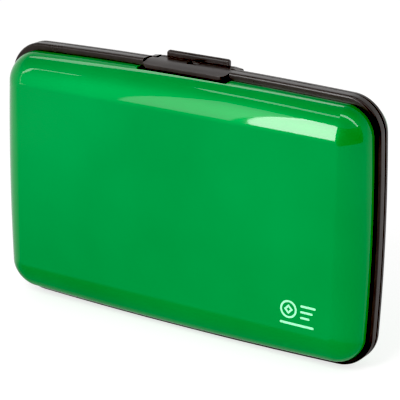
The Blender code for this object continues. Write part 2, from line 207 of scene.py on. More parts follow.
def pick(obj: Piece, part: Part, test: Callable[[Any], bool]) -> None:
    """Selects the elements of an open mesh that pass a test, and nothing else.

    Args:
        obj: The object in edit mode.
        part: The kind of element.
        test: Says of one element whether it is selected.
    """
    bpy.ops.mesh.select_mode(type=part.name)
    bpy.ops.mesh.select_all(action="DESELECT")
    mesh = bmesh.from_edit_mesh(obj.data)
    for element in [element for element in getattr(mesh, part.value) if test(element)]:
        element.select_set(True)
    mesh.select_flush_mode()
    bmesh.update_edit_mesh(obj.data)


def pick_all() -> None:
    """Selects all of the open mesh."""
    bpy.ops.mesh.select_all(action="SELECT")


def upright(edge: bmesh.types.BMEdge) -> bool:
    """Says whether an edge runs straight up."""
    one, other = (vert.co for vert in edge.verts)
    return abs(one.x - other.x) < TOUCH and abs(one.y - other.y) < TOUCH


def at_depth(element: bmesh.types.BMEdge | bmesh.types.BMFace, depth: float) -> bool:
    """Says whether an edge or a face lies at a depth along Y, in front of the middle or behind it."""
    return all(abs(abs(vert.co.y) - depth) < TOUCH for vert in element.verts)


def looks(face: bmesh.types.BMFace, way: tuple[float, float, float]) -> bool:
    """Says whether a face looks along a direction."""
    return face.normal.dot(way) > FACING


def draw_out(offset: tuple[float, float, float]) -> None:
    """Extrudes the selected faces by an offset."""
    bpy.ops.mesh.extrude_region_move(TRANSFORM_OT_translate={"value": offset})


def draw_in(width: float, depth: float = 0) -> None:
    """Insets the selected faces by an even width, and moves them along their normals by a depth."""
    bpy.ops.mesh.inset(thickness=width, depth=depth, use_even_offset=True)


def bevel(obj: Piece, width: float, steps: int, test: Callable[[Any], bool]) -> None:
    """Bevels the edges of an open mesh that pass a test.

    Args:
        obj: The object in edit mode.
        width: The bevel's width.
        steps: How many strips round it.
        test: Says of one edge whether it is bevelled.
    """
    pick(obj, Part.EDGE, test)
    bpy.ops.mesh.bevel(offset=width, segments=steps, affect="EDGES")


def saw(across: tuple[float, float, float], place: float) -> None:
    """Divides the open mesh along a plane and keeps both sides.

    Args:
        across: The plane's normal.
        place: Where the plane stands along it.
    """
    pick_all()
    bpy.ops.mesh.bisect(plane_co=Vector(across) * place, plane_no=across)


def turn_out() -> None:
    """Makes every face of the open mesh point outwards."""
    pick_all()
    bpy.ops.mesh.normals_make_consistent(inside=False)


def settle(obj: Piece, name: str) -> Piece:
    """Names a fresh primitive and moves its place into its mesh.

    Args:
        obj: The primitive.
        name: Its new name.

    Returns:
        The same object, at the origin, unturned and unscaled.
    """
    take(obj)
    bpy.ops.object.transform_apply(location=True, rotation=True, scale=True)
    obj.name = name
    obj.data.name = name
    return obj


def plate(name: str, middle: tuple[float, float, float], width: float, height: float) -> Piece:
    """A flat rectangle that faces the front, open in edit mode and selected.

    Args:
        name: The object's name.
        middle: Its middle.
        width: Its size along X.
        height: Its height.

    Returns:
        The rectangle.
    """
    stand_back()
    bpy.ops.mesh.primitive_plane_add(size=1, location=middle, rotation=UPRIGHT)
    obj = bpy.context.object
    obj.scale = (width, height, 1)
    edit(settle(obj, name))
    pick_all()
    return obj


def slab(name: str, low: tuple, high: tuple) -> Piece:
    """A box primitive between two corners.

    Args:
        name: The object's name.
        low: Lowest corner.
        high: Highest corner.

    Returns:
        The box.
    """
    stand_back()
    middle = (Vector(low) + Vector(high)) / 2
    bpy.ops.mesh.primitive_cube_add(size=1, location=middle)
    obj = bpy.context.object
    obj.scale = Vector(high) - Vector(low)
    return settle(obj, name)


def bar(name: str, radius: float, reach: float, middle: Vector, sides: int = 48,
        end_break: float = 0) -> Piece:
    """A round bar along X.

    Args:
        name: The object's name.
        radius: Its radius.
        reach: Half its length.
        middle: Its middle.
        sides: How many sides it is drawn with.
        end_break: Width of the small bevel at each end, if any.

    Returns:
        The bar.
    """
    stand_back()
    bpy.ops.mesh.primitive_cylinder_add(
        vertices=sides, radius=radius, depth=2 * reach, location=middle, rotation=(0, math.pi / 2, 0)
    )
    obj = settle(bpy.context.object, name)
    if end_break:
        edit(obj)
        pick(obj, Part.FACE, lambda face: abs(face.normal.x) > FACING)
        bpy.ops.mesh.region_to_loop()
        bpy.ops.mesh.bevel(offset=end_break, segments=2, affect="EDGES")
        stand_back()
    return obj


def finish_with(obj: Piece, kind: str, **settings: Any) -> None:
    """Adds a modifier, sets it and applies it at once.

    Args:
        obj: The object.
        kind: The modifier's type.
        **settings: The modifier's own settings.
    """
    modifier = obj.modifiers.new(kind.lower(), kind)
    for key, value in settings.items():
        setattr(modifier, key, value)
    take(obj)
    bpy.ops.object.modifier_apply(modifier=modifier.name)


def work(obj: Piece, tool: Piece, cut: Cut) -> None:
    """Cuts, joins or keeps with a tool shape, which is then thrown away.

    Args:
        obj: The piece.
        tool: The tool shape.
        cut: What the tool does.
    """
    finish_with(obj, "BOOLEAN", operation=cut.value, solver="EXACT", object=tool)
    bpy.data.objects.remove(tool)


def smooth(obj: Piece, degrees: float = 35) -> None:
    """Shades a piece smooth, with edges over an angle left sharp."""
    take(obj)
    bpy.ops.object.shade_smooth_by_angle(angle=math.radians(degrees))
    stand_back()


def smooth_moulding(obj: Piece) -> None:
    """Shades a moulding smooth round its small rounds, and keeps its large flats flat."""
    smooth(obj, degrees=30)
    finish_with(obj, "WEIGHTED_NORMAL", keep_sharp=True)


def hand_over(obj: Piece, finish: Finish, body: str, node: str = "") -> None:
    """Dresses a finished piece and gives it to the body that carries it.

    Args:
        obj: The piece.
        finish: What it is made of.
        body: The CAD body it rides on.
        node: The CAD node it stands for.
    """
    finish.put_on(obj)
    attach(obj, body)
    if node:
        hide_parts(node)
    LOG.info("%s: %d faces on %s", obj.name, len(obj.data.polygons), body)


def outline_face(name: str, plan: Plan, y: float, facing: int, corner_steps: int = 20,
                 side_cuts: int = 31) -> Piece:
    """One face in the shape of a plan, open in edit mode and selected.

    Args:
        name: The object's name.
        plan: Its outline.
        y: Where the face stands.
        facing: Its normal's direction along Y.
        corner_steps: Segments in each rounded corner.
        side_cuts: Points added along each bowed side.

    Returns:
        The face's object.
    """
    obj = plate(name, (0, y, CASE.middle_z), 2 * plan.half_width, 2 * plan.half_height)
    bpy.ops.mesh.bevel(affect="VERTICES", offset=plan.radius, segments=corner_steps)
    pick_all()
    bpy.ops.mesh.delete(type="ONLY_FACE")
    pick(obj, Part.EDGE, lambda edge: edge.calc_length() > 2 * plan.radius)
    bpy.ops.mesh.subdivide(number_cuts=side_cuts)
    mesh = bmesh.from_edit_mesh(obj.data)
    for vert in mesh.verts:
        x, z = plan.bowed(vert.co.x, vert.co.z - CASE.middle_z)
        vert.co = (x, y, CASE.middle_z + z)
    bmesh.update_edit_mesh(obj.data)
    pick_all()
    bpy.ops.mesh.edge_face_add()
    mesh = bmesh.from_edit_mesh(obj.data)
    mesh.normal_update()
    mesh.faces.ensure_lookup_table()
    if mesh.faces[0].normal.y * facing < 0:
        bpy.ops.mesh.flip_normals()
    return obj


# Finishes


def linear(code: str) -> tuple[float, float, float, float]:
    """Turns an sRGB hex colour, six digits after a hash sign, to linear with an alpha of 1."""
    parts = []
    for place in (1, 3, 5):
        value = int(code[place:place + 2], 16) / 255
        parts.append(value / 12.92 if value <= 0.04045 else ((value + 0.055) / 1.055) ** 2.4)
    return (*parts, 1.0)


def sized(place: Socket, size_mm: float, **more: float) -> dict[str, Any]:
    """The inputs of a pattern on coordinates in metres, whose features are some millimetres wide."""
    return {"Vector": place, "Scale": 1000 / size_mm, **more}


def fill(tree: Tree, node: Node, inputs: dict) -> None:
    """Sets or links a node's inputs.

    Args:
        tree: The node tree.
        node: The node.
        inputs: A value, an output, or a node whose first output is meant, by the input's name or number.
    """
    for key, value in inputs.items():
        if isinstance(value, Node):
            value = value.outputs[0]
        if isinstance(value, Socket):
            tree.links.new(value, node.inputs[key])
        else:
            node.inputs[key].default_value = value


def add_node(tree: Tree, kind: str, inputs: dict | None = None,
             stops: dict[float, str] | None = None, **settings: Any) -> Node:
    """Adds a node, sets it and links it.

    Args:
        tree: The node tree.
        kind: The node's type.
        inputs: What goes to its inputs, as fill takes it.
        stops: A colour ramp's hex colours, by their places from left to right.
        **settings: The node's own settings.

    Returns:
        The node.
    """
    node = tree.nodes.new(kind)
    for key, value in settings.items():
        setattr(node, key, value)
    fill(tree, node, inputs or {})
    if stops:
        elements = node.color_ramp.elements
        while len(elements) < len(stops):
            elements.new(0.5)
        for element, (place, code) in zip(elements, stops.items()):
            element.position, element.color = place, linear(code)
    return node


@dataclass(frozen=True)
class Finish:
    """What a piece is made of and how its surface was made."""

    name: str
    slot: str = ""

    def material(self) -> bpy.types.Material:
        """The finish's material, made once."""
        found = bpy.data.materials.get(self.name)
        if found:
            return found
        made = bpy.data.materials.new(self.name)
        made.use_nodes = True
        tree = made.node_tree
        tree.nodes.clear()
        place = add_node(tree, "ShaderNodeTexCoord").outputs["Object"]
        shader = add_node(tree, "ShaderNodeBsdfPrincipled", self.look(tree, place))
        add_node(tree, "ShaderNodeOutputMaterial", {"Surface": shader})
        return made

    def put_on(self, obj: Piece) -> None:
        """Makes the finish a piece's only one."""
        obj.data.materials.clear()
        obj.data.materials.append(self.material())

    def look(self, tree: Tree, place: Socket) -> dict[str, Any]:
        """Makes the finish's patterns. Each finish has its own.

        Args:
            tree: The material's node tree.
            place: The coordinates that the patterns read.

        Returns:
            What goes to the shader's inputs.
        """
        raise NotImplementedError


@dataclass(frozen=True)
class LacqueredAluminium(Finish):
    """Stamped aluminium sheet, sprayed with a clear green lacquer and polished.

    The clear coat mirrors the room sharply, rippled softly by its orange peel. The partly metallic base
    under it takes the light in its own saturated green.
    """

    name: str = "stamped_aluminium_green_lacquer"
    slot: str = "green_lacquer"
    colour: str = "#008C3D"
    thin_colour: str = "#009443"
    cloud_mm: float = 38.0
    haze_mm: float = 9.0
    smoothest: float = 0.36
    roughest: float = 0.46
    metallic: float = 0.26
    coat_roughness: float = 0.03
    peel_mm: float = 2.6
    peel_height_mm: float = 0.0022

    def look(self, tree: Tree, place: Socket) -> dict[str, Any]:
        """Makes the lacquer's cloudy colour, its haze and its orange peel."""
        cloud = add_node(tree, "ShaderNodeTexNoise", sized(place, self.cloud_mm))
        haze = add_node(tree, "ShaderNodeTexNoise", sized(place, self.haze_mm))
        gloss = {"Value": haze, "To Min": self.smoothest, "To Max": self.roughest}
        peel = add_node(tree, "ShaderNodeTexNoise", sized(place, self.peel_mm, Detail=1.0))
        relief = {"Height": peel, "Distance": self.peel_height_mm / 1000}
        stops = {0.35: self.colour, 0.65: self.thin_colour}
        return {
            "Base Color": add_node(tree, "ShaderNodeValToRGB", {"Fac": cloud}, stops),
            "Roughness": add_node(tree, "ShaderNodeMapRange", gloss),
            "Normal": add_node(tree, "ShaderNodeBump", relief),
            "Metallic": self.metallic,
            "Specular IOR Level": 0.0,
            "Coat Weight": 1.0,
            "Coat Roughness": self.coat_roughness,
        }


@dataclass(frozen=True)
class MouldedAbs(Finish):
    """Black ABS moulded in a spark-eroded tool: satin, with a grain that breaks up the lights.

    The grain is drawn coarser than the real one, so that it shows.
    """

    name: str = "moulded_abs_black_satin"
    slot: str = "black_abs"
    colour: str = "#241C19"
    rubbed_colour: str = "#2E2522"
    rub_mm: float = 6.0
    smoothest: float = 0.24
    roughest: float = 0.34
    specular: float = 0.6
    grain_mm: float = 0.35
    grain_height_mm: float = 0.006

    def look(self, tree: Tree, place: Socket) -> dict[str, Any]:
        """Makes the plastic's rubbed places and its moulded grain."""
        rubbed = add_node(tree, "ShaderNodeTexNoise", sized(place, self.rub_mm, Detail=4.0))
        gloss = {"Value": rubbed, "To Min": self.smoothest, "To Max": self.roughest}
        grain = add_node(tree, "ShaderNodeTexNoise", sized(place, self.grain_mm, Detail=3.0))
        relief = {"Height": grain, "Distance": self.grain_height_mm / 1000}
        stops = {0.4: self.colour, 0.75: self.rubbed_colour}
        return {
            "Base Color": add_node(tree, "ShaderNodeValToRGB", {"Fac": rubbed}, stops),
            "Roughness": add_node(tree, "ShaderNodeMapRange", gloss),
            "Normal": add_node(tree, "ShaderNodeBump", relief),
            "Specular IOR Level": self.specular,
        }


@dataclass(frozen=True)
class DrawnSteel(Finish):
    """Steel wire, drawn and cropped: fine lines along the wire stretch its highlights."""

    name: str = "drawn_steel_wire"
    slot: str = "steel"
    colour: str = "#C9C8C6"
    line_mm: float = 0.08
    line_height_mm: float = 0.002
    line_squeeze: float = 0.02
    smoothest: float = 0.18
    roughest: float = 0.38

    def look(self, tree: Tree, place: Socket) -> dict[str, Any]:
        """Makes the steel's drawing lines, which are noise stretched along X."""
        along = add_node(tree, "ShaderNodeMapping", {"Vector": place, "Scale": (self.line_squeeze, 1, 1)})
        lines = add_node(tree, "ShaderNodeTexNoise", sized(along, self.line_mm, Detail=3.0))
        gloss = {"Value": lines, "To Min": self.smoothest, "To Max": self.roughest}
        relief = {"Height": lines, "Distance": self.line_height_mm / 1000}
        return {
            "Base Color": linear(self.colour),
            "Roughness": add_node(tree, "ShaderNodeMapRange", gloss),
            "Normal": add_node(tree, "ShaderNodeBump", relief),
            "Metallic": 1.0,
        }


@dataclass(frozen=True)
class ExtrudedPolypropylene(Finish):
    """Smoke-grey polypropylene sheet, extruded over a fine embossed roll: matt, with tiny bright points."""

    name: str = "extruded_polypropylene_smoke"
    slot: str = "smoke_polypropylene"
    colour: str = "#46474B"
    dull_colour: str = "#414246"
    cloud_mm: float = 14.0
    roughness: float = 0.42
    cell_mm: float = 0.45
    cell_height_mm: float = 0.010

    def look(self, tree: Tree, place: Socket) -> dict[str, Any]:
        """Makes the sheet's cloudy colour and its embossed cells."""
        cloud = add_node(tree, "ShaderNodeTexNoise", sized(place, self.cloud_mm))
        cells = add_node(tree, "ShaderNodeTexVoronoi", sized(place, self.cell_mm))
        relief = {"Height": cells, "Distance": self.cell_height_mm / 1000}
        stops = {0.3: self.colour, 0.7: self.dull_colour}
        return {
            "Base Color": add_node(tree, "ShaderNodeValToRGB", {"Fac": cloud}, stops),
            "Roughness": self.roughness,
            "Normal": add_node(tree, "ShaderNodeBump", relief),
        }


@dataclass(frozen=True)
class CreasedFilm(Finish):
    """Polypropylene film, scored and folded: the crease is stressed and turns pale."""

    name: str = "polypropylene_film_creased"
    slot: str = "gusset_film"
    colour: str = "#4E4F53"
    stressed_colour: str = "#85868A"
    speckle_mm: float = 0.5
    roughness: float = 0.3
    ripple_mm: float = 2.4
    ripple_height_mm: float = 0.05

    def look(self, tree: Tree, place: Socket) -> dict[str, Any]:
        """Makes the film's pale creases, which read the fold attribute, and its ripples."""
        fold = add_node(tree, "ShaderNodeAttribute", attribute_name="fold").outputs["Fac"]
        speckle = add_node(tree, "ShaderNodeTexNoise", sized(place, self.speckle_mm, Detail=4.0))
        stress = add_node(tree, "ShaderNodeMath", {0: fold, 1: speckle}, operation="MULTIPLY")
        ripple = add_node(tree, "ShaderNodeTexNoise", sized(place, self.ripple_mm))
        relief = {"Height": ripple, "Distance": self.ripple_height_mm / 1000}
        stops = {0.35: self.colour, 0.62: self.stressed_colour}
        return {
            "Base Color": add_node(tree, "ShaderNodeValToRGB", {"Fac": stress}, stops),
            "Roughness": self.roughness,
            "Normal": add_node(tree, "ShaderNodeBump", relief),
        }


@dataclass(frozen=True)
class FoamTape(Finish):
    """Double-sided foam tape, cut from a roll: chalky, with open pores at its edges, painted darker in their
    hollows as shade.
    """

    name: str = "polyethylene_foam_tape_cut"
    # Painted shade: the darker colour that the pores' hollows are painted with.
    painted_pore_shade: str = "#B4B0A6"
    colour: str = "#E2DFD7"
    roughness: float = 0.85
    pore_mm: float = 0.25
    pore_height_mm: float = 0.05

    def look(self, tree: Tree, place: Socket) -> dict[str, Any]:
        """Makes the foam's pores, and paints shade into them: the colour darkens towards each pore's hollow.
        """
        pores = add_node(tree, "ShaderNodeTexVoronoi", sized(place, self.pore_mm))
        relief = {"Height": pores, "Distance": self.pore_height_mm / 1000}
        # Painted shade: the colour darkens to the pore shade towards each pore's sunken middle.
        stops = {0.0: self.painted_pore_shade, 0.5: self.colour}
        return {
            "Base Color": add_node(tree, "ShaderNodeValToRGB", {"Fac": pores}, stops),
            "Roughness": self.roughness,
            "Normal": add_node(tree, "ShaderNodeBump", relief),
        }


@dataclass(frozen=True)
class PrintedInk(Finish):
    """Pale mint ink, pad printed: matt and a little thinner where the pad lifted."""

    name: str = "pad_printed_ink_mint"
    colour: str = "#A9FFC9"
    thin_colour: str = "#6FE59A"
    roughness: float = 0.5
    pinhole_mm: float = 0.4

    def look(self, tree: Tree, place: Socket) -> dict[str, Any]:
        """Makes the ink's faint pinholes."""
        thin = add_node(tree, "ShaderNodeTexNoise", sized(place, self.pinhole_mm, Detail=3.0))
        stops = {0.25: self.thin_colour, 0.5: self.colour}
        return {
            "Base Color": add_node(tree, "ShaderNodeValToRGB", {"Fac": thin}, stops),
            "Roughness": self.roughness,
        }


LACQUER = LacqueredAluminium()
ABS = MouldedAbs()
STEEL = DrawnSteel()
SHEET = ExtrudedPolypropylene()
FILM = CreasedFilm()
FOAM = FoamTape()
INK = PrintedInk()


# Sub-assemblies


@dataclass
class Shell:
    """One dished cover, stamped from sheet: a crisp flat, a wide round border and a notch for the latch."""

    side: Side
    rim_side_inset: float = 0.0014
    rim_top_inset: float = 0.00185
    rim_bottom_inset: float = 0.00145
    rim_radius: float = 0.0072
    side_border: float = 0.00645
    top_border: float = 0.0085
    flat_corner: float = 0.0012
    rim_straight: float = 0.0003
    crease_degrees: float = 11.0
    crease_width: float = 0.0004
    border_steps: int = 26
    seat_gap: float = 0.00005
    rim_break: float = 0.00018
    notch_half: float = 0.01325
    notch_y: float = 0.0047
    notch_drop: float = 0.0032
    notch_corner: float = 0.0007
    notch_break: float = 0.00012
    sharp_degrees: float = 50.0

    @property
    def rim(self) -> Plan:
        """The rim's outline before its sides are bowed."""
        height = CASE.height - self.rim_top_inset - self.rim_bottom_inset
        return Plan(CASE.width / 2 - self.rim_side_inset, height / 2, self.rim_radius, 0, 0)

    @property
    def middle_z(self) -> float:
        """Height of the cover's middle, a little under the frame's."""
        return CASE.middle_z - (self.rim_top_inset - self.rim_bottom_inset) / 2

    @property
    def crown(self) -> float:
        """How far out the flat stands."""
        return CASE.depth / 2 - CASE.ink_film

    @property
    def rim_depth(self) -> float:
        """How far out the rim's edge stands, close to the frame's ledge."""
        return self.side.ledge + self.seat_gap

    def on_flat(self, x: float, z: float) -> tuple[float, float]:
        """The point of the flat's outline that a point of the straight-sided rim runs up to.

        Args:
            x: The rim's point along X.
            z: Its height over the middle.

        Returns:
            The same for the flat's outline.
        """
        rim = self.rim
        run_x, run_z = rim.half_width - rim.radius, rim.half_height - rim.radius
        core_x, core_z = max(-run_x, min(run_x, x)), max(-run_z, min(run_z, z))
        share_x = (rim.half_width - self.side_border - self.flat_corner) / run_x
        share_z = (rim.half_height - self.top_border - self.flat_corner) / run_z
        turn = self.flat_corner / rim.radius
        return core_x * share_x + (x - core_x) * turn, core_z * share_z + (z - core_z) * turn

    def draw_ring(self, obj: Piece, share: float, depth: float) -> None:
        """Draws the selected ring to its place between the flat's outline and the bowed rim.

        Args:
            obj: The open cover, whose start layer holds each point's place on the straight-sided rim.
            share: 0 on the flat's outline and 1 on the rim.
            depth: How far out the ring stands.
        """
        bow = Plan(self.rim.half_width, self.rim.half_height, self.rim.radius)
        mesh = bmesh.from_edit_mesh(obj.data)
        start = mesh.verts.layers.float_vector["start"]
        for vert in mesh.verts:
            if vert.select:
                rim_x, rim_z = bow.bowed(vert[start].x, vert[start].z)
                flat_x, flat_z = self.on_flat(vert[start].x, vert[start].z)
                vert.co.x = flat_x + (rim_x - flat_x) * share
                vert.co.y = self.side.value * depth
                vert.co.z = self.middle_z + flat_z + (rim_z - flat_z) * share
        bmesh.update_edit_mesh(obj.data)

    def stamp(self) -> Piece:
        """Stamps the outer face: the rim's outline, drawn out ring by ring along an elliptical border.

        Returns:
            The face, open in edit mode.
        """
        name = self.side.word + "_shell_cover"
        obj = outline_face(name, self.rim, self.rim_depth * self.side.value, self.side.value)
        mesh = bmesh.from_edit_mesh(obj.data)
        start = mesh.verts.layers.float_vector.new("start")
        for vert in mesh.verts:
            vert[start] = (vert.co.x, 0, vert.co.z - CASE.middle_z)
        bmesh.update_edit_mesh(obj.data)
        self.draw_ring(obj, 1, self.rim_depth)
        first = math.radians(self.crease_degrees)
        border = self.side.ledge + CASE.fit_gap + self.rim_straight
        for step in range(self.border_steps + 1):
            angle = math.pi / 2 - (math.pi / 2 - first) * step / self.border_steps
            share = (math.sin(angle) - math.sin(first)) / (1 - math.sin(first))
            bpy.ops.mesh.extrude_region_move()
            out = (self.crown - border) * math.cos(angle) / math.cos(first)
            self.draw_ring(obj, share, border + out)
        draw_in(self.crease_width)
        pick(obj, Part.FACE, lambda face: at_depth(face, self.rim_depth))
        bpy.ops.mesh.delete(type="FACE")
        layers = bmesh.from_edit_mesh(obj.data).verts.layers.float_vector
        layers.remove(layers["start"])
        bmesh.update_edit_mesh(obj.data)
        return obj

    def notch(self, obj: Piece) -> None:
        """Cuts the notch that the lever drops into, and breaks its edges."""
        near, far = sorted((0.0, self.notch_y * self.side.value))
        low = CASE.top_z - self.notch_drop
        half = self.notch_half
        tool = slab("notch", (-half, near, low), (half, far, CASE.top_z + CASE.overrun))
        edit(tool)
        bevel(tool, self.notch_corner, 5, lambda edge: upright(edge) and at_depth(edge, self.notch_y))
        work(obj, tool, Cut.AWAY)
        edit(obj)
        sharp = math.radians(self.sharp_degrees)
        bevel(obj, self.notch_break, 2, lambda edge: edge.calc_face_angle(0) > sharp and all(
            abs(vert.co.x) < half + TOUCH and abs(vert.co.y) < self.notch_y + TOUCH and vert.co.z > low
            for vert in edge.verts))
        stand_back()

    def build(self) -> None:
        """Stamps the cover, gives it the sheet's thickness and cuts its notch."""
        obj = self.stamp()
        finish_with(obj, "SOLIDIFY", thickness=CASE.sheet, offset=-1, use_even_offset=True)
        edit(obj)
        bevel(obj, self.rim_break, 3, lambda edge: at_depth(edge, self.rim_depth)
              and any(abs(face.normal.y) < ASIDE for face in edge.link_faces))
        self.notch(obj)
        smooth(obj, degrees=40)
        hand_over(obj, LACQUER, self.side.body, self.side.word + "_shell")


@dataclass
class Pictogram:
    """The plain printed mark at the lower right of the front shell: a ring round a diamond, and stripes."""

    middle: tuple[float, float] = (0.0378, 0.0146)
    width: float = 0.0094
    stroke: float = 0.0005
    sunk: float = 0.00003
    ring_radius: float = 0.0023
    ring_rise: float = 0.0010
    diamond_radius: float = 0.00125
    stripe_count: int = 3
    stripe_start: float = 0.0056
    stripe_rise: float = 0.0025
    stripe_pitch: float = 0.0015
    stripe_length: float = 0.0042
    stripe_step: float = 0.0008
    stripe_height: float = 0.00055
    foot_drop: float = 0.0026
    foot_height: float = 0.0006
    end_round: float = 0.49

    def ring(self, name: str, x: float, z: float, radius: float, sides: int = 64) -> Piece:
        """A flat ring of ink.

        Args:
            name: The object's name.
            x: Its middle along X.
            z: Its middle's height.
            radius: Its outer radius.
            sides: How many sides it has, such as 4 for a diamond.

        Returns:
            The ring.
        """
        stand_back()
        middle = (x, -CASE.depth / 2, z)
        bpy.ops.mesh.primitive_circle_add(
            vertices=sides, radius=radius, fill_type="NGON", location=middle, rotation=UPRIGHT
        )
        obj = settle(bpy.context.object, name)
        edit(obj)
        pick_all()
        draw_in(self.stroke)
        bpy.ops.mesh.delete(type="FACE")
        self.thicken(obj)
        return obj

    def stripe(self, name: str, x: float, z: float, width: float, height: float) -> Piece:
        """A short bar of ink with round ends.

        Args:
            name: The object's name.
            x: Its middle along X.
            z: Its middle's height.
            width: Its length along X.
            height: Its height.

        Returns:
            The bar.
        """
        obj = plate(name, (x, -CASE.depth / 2, z), width, height)
        bpy.ops.mesh.bevel(affect="VERTICES", offset=self.end_round * height, segments=6)
        self.thicken(obj)
        return obj

    def thicken(self, obj: Piece) -> None:
        """Gives flat ink its film thickness, sunk a little into the lacquer."""
        finish_with(obj, "SOLIDIFY", thickness=CASE.ink_film + self.sunk, offset=-1)

    def build(self) -> None:
        """Prints the mark: a ring beside stripes, over a long stripe."""
        x, z = self.middle
        left = x - self.width / 2
        centre = (left + self.ring_radius, z + self.ring_rise)
        parts = [self.ring("mark_ring", *centre, self.ring_radius),
                 self.ring("mark_diamond", *centre, self.diamond_radius, sides=4)]
        for row in range(self.stripe_count):
            length = self.stripe_length - self.stripe_step * row
            start, height = left + self.stripe_start, z + self.stripe_rise - self.stripe_pitch * row
            name = f"mark_stripe_{row}"
            parts.append(self.stripe(name, start + length / 2, height, length, self.stripe_height))
        parts.append(self.stripe("mark_foot", x, z - self.foot_drop, self.width, self.foot_height))
        stand_back()
        for part in parts:
            part.select_set(True)
        bpy.context.view_layer.objects.active = parts[0]
        bpy.ops.object.join()
        parts[0].name = "printed_mark"
        hand_over(parts[0], INK, Side.FRONT.body)


@dataclass
class Hinge:
    """The lid's hinge: the groove that frees the frames, and two stations of three knuckles and a pin."""

    front_groove_degrees: float = 38.0
    rear_groove_degrees: float = 26.0
    spread: float = 0.030
    knuckle_radius: float = 0.0013
    knuckle_length: float = 0.004
    knuckle_break: float = 0.00015
    pin_radius: float = 0.0005
    pin_gap: float = 0.0001

    def groove(self, side: Side) -> Piece:
        """The wedge under the hinge axis that lets the two frames swing apart.

        Args:
            side: Which frame it is cut from.

        Returns:
            The wedge, as a tool shape.
        """
        way, face, low = side.value, side.parting, -CASE.overrun
        degrees = self.front_groove_degrees if side is Side.FRONT else self.rear_groove_degrees
        reach = (CASE.hinge_axis_z - low) * math.tan(math.radians(degrees))
        near, far = sorted((face - way * CASE.overrun, face + way * reach))
        tool = slab("groove", (-CASE.width / 2, near, low), (CASE.width / 2, far, CASE.hinge_axis_z))
        edit(tool)
        edge_y = far if way > 0 else near
        pick(tool, Part.VERT, lambda vert: abs(vert.co.y - edge_y) < TOUCH and vert.co.z > 0)
        bpy.ops.transform.translate(value=(0, face - edge_y, 0))
        stand_back()
        return tool

    def fit_to(self, obj: Piece, side: Side) -> None:
        """Cuts the groove and the foot of a frame, and gives it its share of the knuckles.

        Args:
            obj: The frame.
            side: Which frame it is.
        """
        work(obj, self.groove(side), Cut.AWAY)
        low = (-CASE.width / 2, -CASE.depth / 2, -CASE.overrun)
        work(obj, slab("foot", low, (CASE.width / 2, CASE.depth / 2, 0)), Cut.AWAY)
        step, half = self.knuckle_length + CASE.fit_gap, self.knuckle_length / 2
        relief_radius = self.knuckle_radius + CASE.fit_gap
        own = (0,) if side is Side.FRONT else (-1, 1)
        for station in (-self.spread, self.spread):
            for place in (-1, 0, 1):
                middle = CASE.on_hinge(station + place * step)
                if place in own:
                    knuckle = bar("knuckle", self.knuckle_radius, half, middle, end_break=self.knuckle_break)
                    work(obj, knuckle, Cut.JOIN)
                else:
                    work(obj, bar("relief", relief_radius, half + CASE.fit_gap, middle), Cut.AWAY)
            reach = 1.5 * step + CASE.overrun / 2
            bore = bar("bore", self.pin_radius + self.pin_gap, reach, CASE.on_hinge(station))
            work(obj, bore, Cut.AWAY)

    def pins(self) -> None:
        """Crops the two short wires that the knuckles turn on."""
        reach = CASE.fit_gap + 1.5 * self.knuckle_length
        for hand, station in (("left", -self.spread), ("right", self.spread)):
            name = "hinge_pin_" + hand
            middle = CASE.on_hinge(station)
            obj = bar(name + "_wire", self.pin_radius, reach, middle, sides=40, end_break=CASE.wire_break)
            smooth(obj)
            hand_over(obj, STEEL, Side.REAR.body, name)


